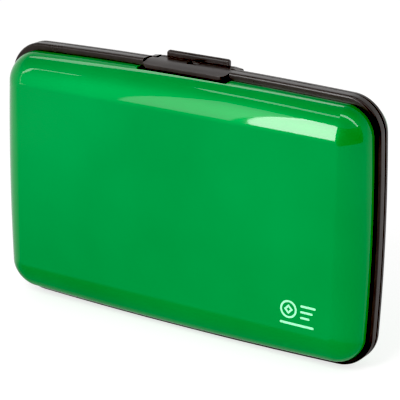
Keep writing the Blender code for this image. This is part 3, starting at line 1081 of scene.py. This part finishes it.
@dataclass
class Latch:
    """The lever latch: the lever itself, its pin, and what the two frames carry for it."""

    width: float = 0.0246
    axis_y: float = 0.0033
    axis_drop: float = 0.0010
    top_drop: float = 0.00025
    nose_drop: float = 0.0010
    bend_y: float = -0.0007
    plate: float = 0.00105
    corner: float = 0.0016
    lip_drop: float = 0.00245
    lip_thickness: float = 0.0014
    tab_width: float = 0.0182
    tab_front_y: float = 0.00315
    tab_thickness: float = 0.0013
    tab_rise: float = 0.0015
    tab_corner: float = 0.0006
    pin_radius: float = 0.00045
    pin_gap: float = 0.0001
    barrel_wall: float = 0.0004
    ear_spread: float = 0.01295
    ear_width: float = 0.0019
    ear_radius: float = 0.0010
    ear_round: float = 0.98
    ear_root: float = 0.0005
    ear_taper: float = 0.75
    window_width: float = 0.0026
    window_front_y: float = 0.0001
    window_back_y: float = 0.0027
    catch_length: float = 0.0012
    catch_drop: float = 0.0005
    tongue: float = 0.0010
    edge_round: float = 0.00014

    @property
    def axis(self) -> Vector:
        """The middle of the lever's axis."""
        return Vector((0, self.axis_y, CASE.top_z - self.axis_drop))

    @property
    def top_z(self) -> float:
        """Height of the lever's flat top."""
        return CASE.top_z - self.top_drop

    @property
    def seat_z(self) -> float:
        """Height of the shallow seat that the lever lies in."""
        return CASE.top_z - self.top_drop - self.plate - CASE.fit_gap

    @property
    def lip_z(self) -> float:
        """Height of the lip's lower edge."""
        return CASE.top_z - self.lip_drop

    @property
    def lip_back_y(self) -> float:
        """Where the lip's inner face stands."""
        return -CASE.front_ledge - CASE.fit_gap

    @property
    def lip_front_y(self) -> float:
        """Where the lip's outer face stands."""
        return self.lip_back_y - self.lip_thickness

    @property
    def bore(self) -> float:
        """Radius of the holes that the pin turns in."""
        return self.pin_radius + self.pin_gap

    @property
    def barrel_half(self) -> float:
        """Half the length of the lever's barrel, between the ears."""
        return self.ear_spread - self.ear_width - CASE.fit_gap

    def plan_tool(self) -> Piece:
        """The lever's outline seen from above: round front corners, and narrower between the ears.

        Returns:
            The tool shape to keep.
        """
        half = self.width / 2
        step = CASE.rear_ledge - self.ear_root - CASE.fit_gap
        low = self.lip_z - CASE.overrun
        high = CASE.top_z + self.tab_rise + CASE.overrun
        plan = slab("lever_plan", (-half, self.lip_front_y, low), (half, step, high))
        edit(plan)
        bevel(plan, self.corner, 8, lambda edge: upright(edge) and at_depth(edge, -self.lip_front_y))
        rear = slab("lever_rear", (-self.barrel_half, 0, low), (self.barrel_half, CASE.depth / 2, high))
        work(plan, rear, Cut.JOIN)
        return plan

    def blank(self) -> Piece:
        """The lever's slab, with its nose bent down and its lip drawn down.

        Returns:
            The slab, open in edit mode.
        """
        under = self.top_z - self.plate
        high = (self.width / 2, self.tab_front_y + self.tab_thickness, self.top_z)
        obj = slab("latch_lever_moulding", (-self.width / 2, self.lip_front_y, under), high)
        edit(obj)
        for y in (self.lip_back_y, self.bend_y, self.tab_front_y):
            saw((0, 1, 0), y)
        mesh = bmesh.from_edit_mesh(obj.data)
        slope = (self.nose_drop - self.top_drop) / (self.bend_y - self.lip_front_y)
        for vert in mesh.verts:
            if vert.co.y < self.bend_y - TOUCH and vert.co.z > self.top_z - TOUCH:
                vert.co.z -= slope * (self.bend_y - vert.co.y)
        bmesh.update_edit_mesh(obj.data)
        pick(obj, Part.FACE, lambda face: looks(face, (0, 0, -1))
             and face.calc_center_median().y < self.lip_back_y)
        draw_out((0, 0, self.lip_z - under))
        return obj

    def raise_tab(self, obj: Piece) -> None:
        """Raises the finger tab along the back of the open slab, and rounds its upper corners."""
        half = self.tab_width / 2
        for x in (-half, half):
            saw((1, 0, 0), x)
        pick(obj, Part.FACE, lambda face: looks(face, (0, 0, 1)) and abs(face.calc_center_median().x) < half
             and face.calc_center_median().y > self.tab_front_y)
        draw_out((0, 0, CASE.top_z + self.tab_rise - self.top_z))
        bevel(obj, self.tab_corner, 6, lambda edge: all(
            abs(abs(vert.co.x) - half) < TOUCH and vert.co.z > CASE.top_z for vert in edge.verts))
        stand_back()

    def lever(self) -> None:
        """Models the lever: blank, tab, outline, window, rounded edges, barrel and bore."""
        obj = self.blank()
        self.raise_tab(obj)
        work(obj, self.plan_tool(), Cut.KEEP)
        half = self.window_width / 2
        window = slab("window", (-half, self.window_front_y, self.lip_z),
                      (half, self.window_back_y, self.top_z + CASE.overrun))
        work(obj, window, Cut.AWAY)
        finish_with(obj, "BEVEL", width=self.edge_round, segments=3, limit_method="ANGLE",
                    angle_limit=math.radians(40))
        barrel = bar("barrel", self.bore + self.barrel_wall, self.barrel_half, self.axis,
                     end_break=CASE.wire_break)
        work(obj, barrel, Cut.JOIN)
        work(obj, bar("bore", self.bore, self.width / 2 + CASE.overrun, self.axis), Cut.AWAY)
        smooth_moulding(obj)
        hand_over(obj, ABS, "latch", "latch_lever")

    def pin(self) -> None:
        """Crops the lever's pin from wire."""
        obj = bar("latch_pin_wire", self.pin_radius, self.ear_spread, self.axis, sides=40,
                  end_break=CASE.wire_break)
        smooth(obj)
        hand_over(obj, STEEL, Side.REAR.body, "latch_pin")

    def seat_on(self, obj: Piece, side: Side) -> None:
        """Cuts the lever's seat in a frame, and adds that frame's part of the latch.

        Args:
            obj: The frame.
            side: Which frame it is.
        """
        half = self.width / 2 + CASE.fit_gap
        deep = CASE.depth / 2
        seat = slab("seat", (-half, -deep, self.seat_z), (half, deep, CASE.top_z + CASE.overrun))
        work(obj, seat, Cut.AWAY)
        if side is Side.FRONT:
            self.add_catch(obj)
        else:
            self.add_notch(obj)
            self.add_ears(obj)

    def add_catch(self, obj: Piece) -> None:
        """Gives the front frame its tongue, with the ramped catch that stands in the window."""
        half = self.window_width / 2 - CASE.fit_gap
        root = CASE.parting_y - CASE.fit_gap - self.tongue
        front = self.window_front_y + CASE.fit_gap
        back = front + self.catch_length
        tongue = slab("tongue", (-half, root, self.seat_z - self.tongue), (half, back, self.seat_z))
        edit(tongue)
        saw((0, 1, 0), front)
        pick(tongue, Part.FACE, lambda face: looks(face, (0, 0, 1)) and face.calc_center_median().y > front)
        rise = CASE.top_z - self.catch_drop - self.seat_z
        draw_out((0, 0, rise))
        pick(tongue, Part.VERT, lambda vert: vert.co.y > back - TOUCH and vert.co.z > self.seat_z + rise / 2)
        bpy.ops.transform.translate(value=(0, -self.catch_length / 2, 0))
        work(obj, tongue, Cut.JOIN)

    def add_notch(self, obj: Piece) -> None:
        """Cuts the way through the rear frame for the tongue."""
        half = self.window_width / 2
        low = self.seat_z - self.tongue - CASE.fit_gap
        notch = slab("notch", (-half, -CASE.overrun, low), (half, CASE.depth / 2, CASE.top_z))
        work(obj, notch, Cut.AWAY)

    def add_ears(self, obj: Piece) -> None:
        """Gives the rear frame the two ears of the lever's pin."""
        back = self.axis_y + self.ear_radius
        for hand in (-1, 1):
            ends = sorted((hand * (self.ear_spread - self.ear_width), hand * self.ear_spread))
            low = (ends[0], CASE.rear_ledge - self.ear_root, self.axis.z - self.ear_radius)
            ear = slab("ear", low, (ends[1], back, self.axis.z + self.ear_radius))
            edit(ear)
            bevel(ear, self.ear_radius * self.ear_round, 10, lambda edge: at_depth(edge, back)
                  and abs(edge.verts[0].co.z - edge.verts[1].co.z) < TOUCH)
            mesh = bmesh.from_edit_mesh(ear.data)
            for vert in mesh.verts:
                if abs(vert.co.x) > self.ear_spread - TOUCH and vert.co.z > self.axis.z:
                    vert.co.z = self.axis.z + (vert.co.z - self.axis.z) * self.ear_taper
            bmesh.update_edit_mesh(ear.data)
            finish_with(ear, "BEVEL", width=self.edge_round, segments=2, limit_method="ANGLE",
                        angle_limit=math.radians(60))
            work(obj, ear, Cut.JOIN)
        work(obj, bar("ear_bore", self.bore, self.ear_spread + CASE.overrun, self.axis), Cut.AWAY)


@dataclass
class Frame:
    """One moulded frame: band, ledge, skirt and opening, with its share of the hinge and the latch."""

    side: Side
    hinge: Hinge
    latch: Latch
    opening_inset: float = 0.0045
    skirt_wall: float = 0.0011
    skirt_reach: float = 0.0025
    ledge_round: float = 0.00065
    parting_break: float = 0.00018

    def band(self) -> Piece:
        """Moulds the plain ring: outline, ledge, skirt and opening.

        Returns:
            The ring.
        """
        way = self.side.value
        parting, ledge = self.side.parting, way * self.side.ledge
        obj = outline_face(self.side.word + "_frame_moulding", Plan.drawn_in(0), ledge, way)
        draw_out((0, -way * abs(ledge - parting), 0))
        turn_out()
        pick(obj, Part.FACE, lambda face: looks(face, (0, way, 0)))
        draw_in(self.opening_inset - self.skirt_wall)
        draw_out((0, way * self.skirt_reach, 0))
        draw_in(self.skirt_wall)
        bpy.ops.mesh.delete(type="FACE")
        pick(obj, Part.FACE, lambda face: looks(face, (0, -way, 0)))
        draw_in(self.opening_inset)
        bpy.ops.mesh.delete(type="FACE")
        pick(obj, Part.EDGE, lambda edge: edge.is_boundary)
        bpy.ops.mesh.bridge_edge_loops()
        for depth, width, steps in ((ledge, self.ledge_round, 6), (parting, self.parting_break, 3)):
            bevel(obj, width, steps, lambda edge: self.on_band_edge(edge, depth))
        stand_back()
        return obj

    def on_band_edge(self, edge: bmesh.types.BMEdge, depth: float) -> bool:
        """Says whether an edge lies on the outer corner of one face of the band.

        Args:
            edge: The edge.
            depth: Where the face stands along Y.

        Returns:
            True for the loop round its outside.
        """
        if len(edge.link_faces) != 2:
            return False
        level = all(abs(vert.co.y - depth) < TOUCH for vert in edge.verts)
        normals = [face.normal for face in edge.link_faces]
        least, most = sorted(abs(normal.y) for normal in normals)
        middle = (edge.verts[0].co + edge.verts[1].co) / 2
        outward = any(abs(normal.y) < ASIDE and normal.dot(middle - Vector((0, middle.y, CASE.middle_z))) > 0
                      for normal in normals)
        return level and least < ASIDE and most > FACING and outward and edge.is_convex

    def build(self) -> None:
        """Moulds the frame with its share of the hinge and the latch."""
        obj = self.band()
        self.hinge.fit_to(obj, self.side)
        self.latch.seat_on(obj, self.side)
        smooth_moulding(obj)
        hand_over(obj, ABS, self.side.body, self.side.word + "_frame")


@dataclass
class Accordion:
    """The fan of card pockets: end panels, dividers and the folded film between them."""

    pockets: int = 7
    inset: float = 0.0065
    end_panel: float = 0.0005
    divider: float = 0.0004
    film: float = 0.0002
    set_back: float = 0.0003
    leg_low: float = 0.0015
    leg_high: float = 0.0054
    tape: float = 0.0010
    weld_rim: float = 0.00016
    weld_margin: float = 0.0006
    weld_wall: float = 0.00012
    weld_width: float = 0.0008
    weld_press: float = 0.12
    fold_rows: int = 8
    tip_share: float = 0.75
    tip_loss: float = 0.12
    crease_share: float = 0.55
    front_body: str = "front_panel_body"

    @property
    def face_y(self) -> float:
        """Where the end panels' outer faces stand, either side of the middle."""
        return CASE.depth / 2 - CASE.sheet - self.tape - 2 * CASE.fit_gap

    @property
    def fan(self) -> float:
        """Depth of the fan between the end panels."""
        return 2 * (self.face_y - self.end_panel)

    @property
    def gap(self) -> float:
        """Clear depth of one pocket."""
        return (self.fan - (self.pockets - 1) * self.divider) / self.pockets

    def sheet(self, node: str, middle_y: float, thickness: float, body: str) -> None:
        """Cuts one sheet, with the welded line along its edge pressed into both faces.

        Args:
            node: The CAD node it stands for.
            middle_y: Where its middle stands.
            thickness: Its thickness.
            body: The body that carries it.
        """
        plan = Plan.drawn_in(self.inset)
        obj = outline_face(node + "_sheet", plan, middle_y - thickness / 2, -1, corner_steps=14)
        draw_out((0, thickness, 0))
        turn_out()
        press = thickness * self.weld_press
        for way in (-1, 1):
            pick(obj, Part.FACE, lambda face: looks(face, (0, way, 0)))
            draw_in(self.weld_rim)
            draw_in(self.weld_margin)
            draw_in(self.weld_wall, -press)
            draw_in(self.weld_width)
            draw_in(self.weld_wall, press)
        stand_back()
        smooth(obj, degrees=30)
        hand_over(obj, SHEET, body, node)

    def unrolled(self, name: str, start_y: float, reach: float) -> Piece:
        """The film before it is folded: a band along the sheets' sides and bottom, open at the top.

        Args:
            name: The object's name.
            start_y: Where the band starts.
            reach: Half its depth.

        Returns:
            The band, open in edit mode.
        """
        obj = outline_face(name, Plan.drawn_in(self.inset + self.set_back), start_y, 1, corner_steps=10)
        pick_all()
        bpy.ops.mesh.delete(type="ONLY_FACE")
        shoulder = CASE.height / 2 - CASE.corner_radius
        pick(obj, Part.VERT, lambda vert: vert.co.z - CASE.middle_z > shoulder - TOUCH)
        bpy.ops.mesh.delete(type="VERT")
        pick_all()
        for _ in range(self.fold_rows):
            travel = (0, -2 * reach / self.fold_rows, 0)
            bpy.ops.mesh.extrude_edges_move(TRANSFORM_OT_translate={"value": travel})
        return obj

    def fold(self, obj: Piece, middle_y: float, reach: float) -> None:
        """Folds the open band inwards along its middle, and marks the crease in the fold attribute.

        Args:
            obj: The band in edit mode.
            middle_y: Where its middle stands.
            reach: Half its depth.
        """
        mesh = bmesh.from_edit_mesh(obj.data)
        crease = mesh.verts.layers.float.new("fold")
        low = min(vert.co.z for vert in mesh.verts)
        high = max(vert.co.z for vert in mesh.verts)
        core_x = CASE.width / 2 - CASE.corner_radius
        core_z = CASE.height / 2 - CASE.corner_radius
        for vert in mesh.verts:
            share = 1 - abs(vert.co.y - middle_y) / reach
            leg = self.leg_low + (self.leg_high - self.leg_low) * (vert.co.z - low) / (high - low)
            x, z = vert.co.x, vert.co.z - CASE.middle_z
            near = Vector((max(-core_x, min(core_x, x)), 0, max(-core_z, min(core_z, z))))
            inward = (near - Vector((x, 0, z))).normalized()
            tip = max(0.0, share - self.tip_share) / (1 - self.tip_share)
            vert.co += inward * leg * (share - self.tip_loss * tip)
            vert[crease] = max(0.0, (share - self.crease_share) / (1 - self.crease_share))
        bmesh.update_edit_mesh(obj.data)
        turn_out()
        stand_back()

    def gusset(self, count: int) -> None:
        """Makes the folded film that joins two sheets at the sides and bottom.

        Args:
            count: The pocket's number, from the rear.
        """
        node = f"pocket_gusset_{count}"
        middle_y = self.fan / 2 - (count - 1) * (self.gap + self.divider) - self.gap / 2
        reach = self.gap / 2 - CASE.fit_gap / 2
        obj = self.unrolled(node + "_film", middle_y + reach, reach)
        self.fold(obj, middle_y, reach)
        finish_with(obj, "SOLIDIFY", thickness=self.film, offset=0)
        smooth(obj, degrees=50)
        FILM.put_on(obj)
        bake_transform(obj)
        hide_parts(node)

    def build(self) -> None:
        """Makes the whole fan, and dresses the two tapes."""
        outer = self.face_y - self.end_panel / 2
        self.sheet("rear_end_panel", outer, self.end_panel, Side.REAR.body)
        self.sheet("front_end_panel", -outer, self.end_panel, self.front_body)
        pitch = self.gap + self.divider
        for count in range(1, self.pockets + 1):
            self.gusset(count)
            if count < self.pockets:
                middle = self.fan / 2 - count * pitch + self.divider / 2
                self.sheet(f"divider_{count}", middle, self.divider, f"divider_body_{count}")
        for side in Side:
            FOAM.put_on(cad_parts[side.word + "_tape"])


# Studio


def direction(bearing: float, rise: float) -> Vector:
    """The direction at a bearing from -Y towards -X and a rise over the horizon, both in degrees."""
    turn, tilt = math.radians(bearing), math.radians(rise)
    return Vector((-math.sin(turn) * math.cos(tilt), -math.cos(turn) * math.cos(tilt), math.sin(tilt)))


def turned_to(away: Vector) -> Matrix:
    """How a light is turned that looks at the case from a direction."""
    return (-away).to_track_quat("-Z", "Y").to_matrix()


@dataclass(frozen=True)
class Lamp:
    """A rectangular light that only reflections see. The white surroundings have a glow of 1."""

    name: str
    glow: float

    def hang(self, place: Vector, turn: Matrix, size: tuple[float, float]) -> Piece:
        """Hangs the light.

        Args:
            place: Where it hangs.
            turn: Its axes: across, up and away from the case.
            size: Its width and height.

        Returns:
            The light.
        """
        data = bpy.data.lights.new(self.name, "AREA")
        data.shape = "RECTANGLE"
        data.size, data.size_y = size
        data.energy = self.glow * math.pi * data.size * data.size_y
        obj = bpy.data.objects.new(self.name, data)
        bpy.context.scene.collection.objects.link(obj)
        obj.matrix_world = Matrix.Translation(place) @ turn.to_4x4()
        obj.visible_camera = obj.visible_diffuse = False
        return obj


@dataclass(frozen=True)
class Panel(Lamp):
    """A panel that faces the case, given by the degrees that it spans as the case sees them."""

    bearings: tuple[float, float]
    rises: tuple[float, float]
    distance: float

    def build(self) -> None:
        """Stands the panel."""
        rise = sum(self.rises) / 2
        away = direction(sum(self.bearings) / 2, rise)
        width, height = (2 * self.distance * math.tan(math.radians(pair[1] - pair[0]) / 2)
                         for pair in (self.bearings, self.rises))
        size = (width * math.cos(math.radians(rise)), height)
        self.hang(CASE.middle + away * self.distance, turned_to(away), size)


@dataclass(frozen=True)
class Tube(Lamp):
    """A thin tube between two directions, each a bearing and a rise."""

    start: tuple[float, float]
    end: tuple[float, float]
    distance: float
    thickness: float

    def build(self) -> None:
        """Hangs the tube, with its lit side to the case."""
        first, last = (direction(*pair) * self.distance for pair in (self.start, self.end))
        along = (last - first).normalized()
        away = (first + last) / 2
        across = along.cross(away).normalized()
        if along.cross(across).dot(away) < 0:
            across = -across
        turn = Matrix((along, across, along.cross(across))).transposed()
        self.hang(CASE.middle + away, turn, ((last - first).length, self.thickness))


@dataclass(frozen=True)
class CeilingTube(Lamp):
    """A wide tube under the ceiling, which shines straight down."""

    place: tuple[float, float, float]
    size: tuple[float, float]

    def build(self) -> None:
        """Hangs the tube."""
        self.hang(Vector(self.place), Matrix.Identity(3), self.size)


LAMPS = (
    Panel("bright_panel", 10.5, bearings=(13.5, 27.3), rises=(5.5, 38.5), distance=0.47),
    Panel("dim_panel", 1.7, bearings=(27.3, 35.0), rises=(5.5, 38.5), distance=0.47),
    Panel("rear_panel", 2.5, bearings=(95.0, 150.0), rises=(49.0, 57.0), distance=0.9),
    Tube("corner_tube_side", 4.5, start=(41.0, 2.0), end=(48.5, 29.5), distance=0.47, thickness=0.006),
    Tube("corner_tube_bend", 4.5, start=(48.5, 29.5), end=(52.5, 36.0), distance=0.47, thickness=0.007),
    Tube("corner_tube_top", 3.5, start=(52.9, 36.2), end=(48.4, 37.0), distance=0.47, thickness=0.013),
    CeilingTube("ceiling_tube_near", 3.0, place=(-0.26, -0.245, 0.65), size=(0.22, 0.08)),
    CeilingTube("ceiling_tube_far", 6.0, place=(0.72, -0.15, 0.65), size=(1.74, 0.08)),
)


def put_on_stage(obj: Piece, name: str, look: dict[str, Any]) -> None:
    """Gives a piece of the studio a plain material, and keeps it out of the part.

    Args:
        obj: The piece.
        name: The material's name.
        look: The inputs of its shader.
    """
    made = bpy.data.materials.new(name)
    made.use_nodes = True
    fill(made.node_tree, made.node_tree.nodes["Principled BSDF"], look)
    obj.data.materials.append(made)


@dataclass
class Studio:
    """The pale floor, the soft lights and the camera of the photograph."""

    floor_size: float = 6.0
    floor_colour: str = "#B6B5B5"
    floor_roughness: float = 0.9
    floor_specular: float = 0.1
    floor_glow: float = 0.71
    lens: float = 160.1
    sensor: float = 36.0
    clip: tuple[float, float] = (0.01, 20.0)
    yaw: float = math.radians(32.40)
    pitch: float = math.radians(18.43)
    roll: float = math.radians(0.68)
    distance: float = 0.452
    shift_right: float = -0.00275
    shift_up: float = 0.00068
    ground: str = "#A0A0A0"
    surroundings: str = "#FFFFFF"
    ceiling: str = "#909090"
    black_level: float = 0.046
    key_place: tuple[float, float, float] = (0.04, -0.23, 0.17)
    key_size: tuple[float, float] = (0.1, 0.1)
    key_glow: float = 12.0
    cloth_distance: float = 0.38
    cloth_height: float = 0.36
    cloth_bearings: tuple[float, float] = (-88.0, 8.0)
    cloth_glow: float = 0.12

    def floor(self) -> None:
        """Lays the pale floor, which the lacquer doesn't mirror."""
        stand_back()
        bpy.ops.mesh.primitive_plane_add(size=self.floor_size, location=(0, 0, 0))
        obj = bpy.context.object
        obj.name = "studio_floor"
        obj.visible_glossy = False
        put_on_stage(obj, "studio_floor_white", {
            "Base Color": linear(self.floor_colour),
            "Roughness": self.floor_roughness,
            "Specular IOR Level": self.floor_specular,
            "Emission Color": linear("#FFFFFF"),
            "Emission Strength": self.floor_glow,
        })

    def key(self) -> None:
        """Hangs the soft frontal light, which shades the flat a little from its top to its bottom."""
        away = Vector(self.key_place)
        obj = Lamp("key_softbox", self.key_glow).hang(away + CASE.middle, turned_to(away), self.key_size)
        obj.visible_diffuse, obj.visible_glossy = True, False

    def dark_cloth(self) -> None:
        """Hangs a dark cloth round the camera, which only the near corner of the shell mirrors."""
        stand_back()
        bpy.ops.mesh.primitive_cylinder_add(
            vertices=72, radius=self.cloth_distance, depth=self.cloth_height, end_fill_type="NOTHING",
            location=(0, 0, self.cloth_height / 2)
        )
        obj = settle(bpy.context.object, "studio_dark_side")
        edit(obj)
        low, high = self.cloth_bearings
        pick(obj, Part.FACE, lambda face: not low < math.degrees(
            math.atan2(-face.calc_center_median().x, -face.calc_center_median().y)) < high)
        bpy.ops.mesh.delete(type="FACE")
        stand_back()
        obj.visible_camera = obj.visible_diffuse = obj.visible_shadow = False
        put_on_stage(obj, "studio_dark_cloth", {
            "Base Color": linear("#000000"),
            "Specular IOR Level": 0.0,
            "Emission Color": linear("#FFFFFF"),
            "Emission Strength": self.cloth_glow,
        })

    def world(self) -> None:
        """Sets the room: darker under the horizon and overhead, and white between."""
        world = bpy.data.worlds.new("studio_white")
        world.use_nodes = True
        tree = world.node_tree
        around = add_node(tree, "ShaderNodeTexCoord").outputs["Generated"]
        height = add_node(tree, "ShaderNodeSeparateXYZ", {"Vector": around}).outputs["Z"]
        share = add_node(tree, "ShaderNodeMapRange", {"Value": height, "From Min": -1.0})
        stops = {0.22: self.ground, 0.36: self.surroundings, 0.66: self.surroundings, 1.0: self.ceiling}
        room = add_node(tree, "ShaderNodeValToRGB", {"Fac": share}, stops)
        fill(tree, tree.nodes["Background"], {"Color": room})
        bpy.context.scene.world = world

    def film(self) -> None:
        """Sets the picture's black level, which takes away the even veil of the white room."""
        settings = bpy.context.scene.view_settings
        settings.view_transform = "Standard"
        settings.use_curve_mapping = True
        settings.curve_mapping.black_level = (self.black_level,) * 3
        settings.curve_mapping.update()

    def camera(self) -> None:
        """Stands the camera where the photograph was taken from."""
        sin_yaw, cos_yaw = math.sin(self.yaw), math.cos(self.yaw)
        sin_pitch, cos_pitch = math.sin(self.pitch), math.cos(self.pitch)
        ahead = Vector((-sin_yaw * cos_pitch, cos_yaw * cos_pitch, -sin_pitch))
        right = Vector((cos_yaw, sin_yaw, 0))
        up = Vector((-sin_yaw * sin_pitch, cos_yaw * sin_pitch, cos_pitch))
        place = CASE.middle - right * self.shift_right - up * self.shift_up - ahead * self.distance
        cos_roll, sin_roll = math.cos(self.roll), math.sin(self.roll)
        right, up = right * cos_roll + up * sin_roll, up * cos_roll - right * sin_roll
        data = bpy.data.cameras.new("photo_camera")
        data.lens = self.lens
        data.sensor_width = self.sensor
        data.clip_start, data.clip_end = self.clip
        cam = bpy.data.objects.new("photo_camera", data)
        bpy.context.scene.collection.objects.link(cam)
        turn = Matrix((right, up, -ahead)).transposed().to_4x4()
        cam.matrix_world = Matrix.Translation(place) @ turn
        bpy.context.scene.camera = cam

    def build(self) -> None:
        """Sets up the whole studio."""
        self.camera()
        self.floor()
        self.world()
        for lamp in LAMPS:
            lamp.build()
        self.key()
        self.dark_cloth()
        self.film()


def main() -> None:
    """Builds every sub-assembly in order."""
    logging.basicConfig(level=logging.INFO, format="%(message)s")
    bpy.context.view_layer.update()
    Studio().build()
    hinge, latch = Hinge(), Latch()
    for side in Side:
        Shell(side).build()
        Frame(side, hinge, latch).build()
    Pictogram().build()
    latch.lever()
    latch.pin()
    hinge.pins()
    Accordion().build()
    stand_back()


if __name__ == "__main__":
    main()
